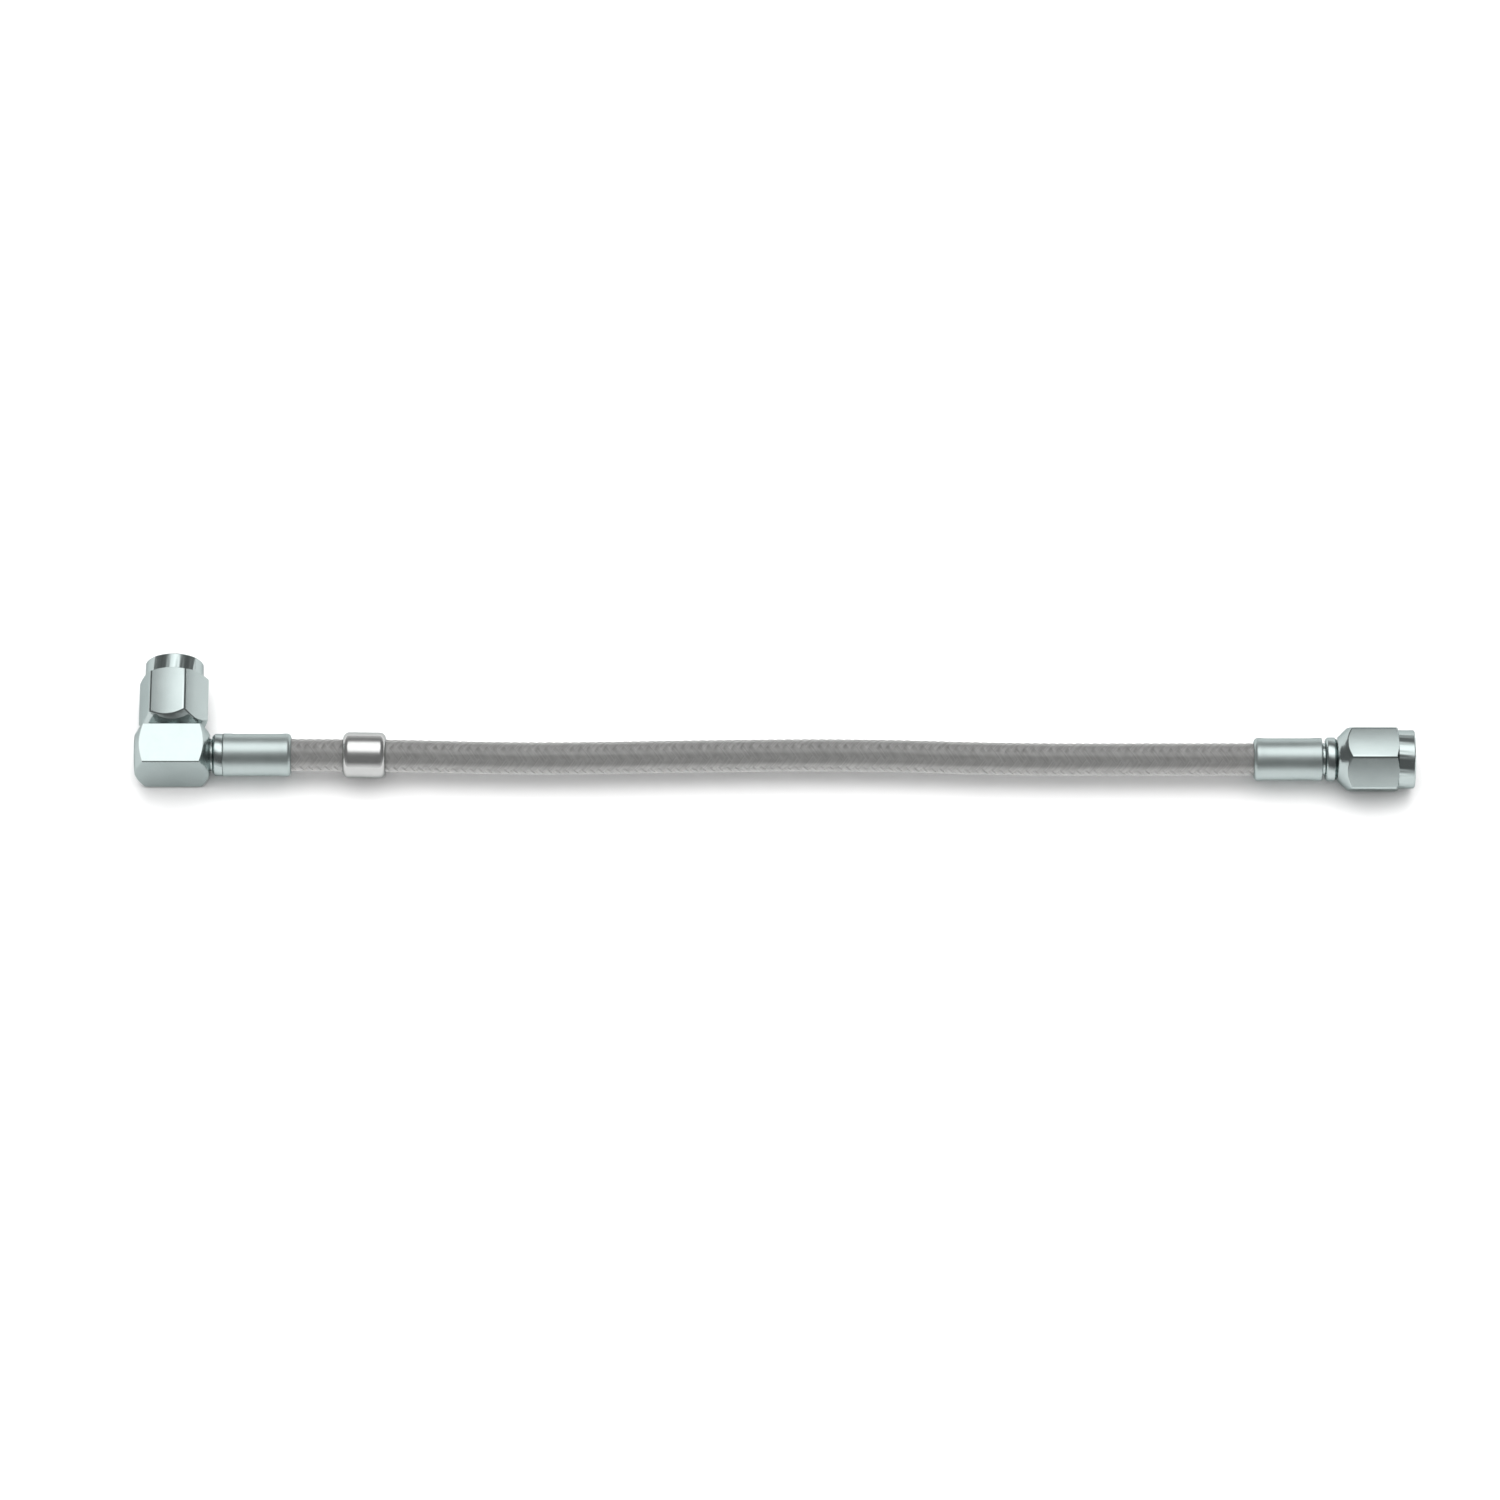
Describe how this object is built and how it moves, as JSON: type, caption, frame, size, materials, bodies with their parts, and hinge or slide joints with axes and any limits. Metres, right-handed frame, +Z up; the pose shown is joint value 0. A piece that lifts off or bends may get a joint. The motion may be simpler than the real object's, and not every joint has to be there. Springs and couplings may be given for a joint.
{
  "type": "braided supply line",
  "caption": "Stainless-braided, PTFE-lined supply hose with a swaged 90 degree block elbow swivel nut at one end and a straight swivel nut at the other.",
  "frame": {"origin": "on the surface that the line lies on, under the middle of the box round its fittings", "axes": "+X along the hose towards the straight end, +Y the way the elbow's nut points, +Z up"},
  "size_m": [0.2616, 0.0284, 0.0136],
  "materials": {
    "plated_steel": "bright zinc plate, satin",
    "plated_nut": "bright zinc plate, satin flats and polished collar",
    "polished_stainless": "polished",
    "stainless_braid": "woven stainless wire",
    "ptfe": "smooth, waxy white"
  },
  "bodies": {
    "line": {"elbow_block": "plated_steel", "elbow_seat_stem": "plated_steel", "elbow_nipple": "plated_steel", "elbow_ferrule": "plated_steel", "hose_liner": "ptfe", "hose_braid": "stainless_braid", "id_ring": "polished_stainless", "straight_ferrule": "plated_steel", "straight_nipple": "plated_steel"},
    "elbow_nut": {"elbow_swivel_nut": "plated_nut"},
    "straight_nut": {"straight_swivel_nut": "plated_nut"}
  },
  "joints": [
    {"name": "elbow_nut_spin", "type": "hinge", "parent": "line", "child": "elbow_nut", "pos_m": [-0.12318, -0.00159, 0.0068], "axis": [0, 1, 0], "continuous": true},
    {"name": "straight_nut_spin", "type": "hinge", "parent": "line", "child": "straight_nut", "pos_m": [0.11503, -0.00709, 0.0068], "axis": [1, 0, 0], "continuous": true}
  ]
}
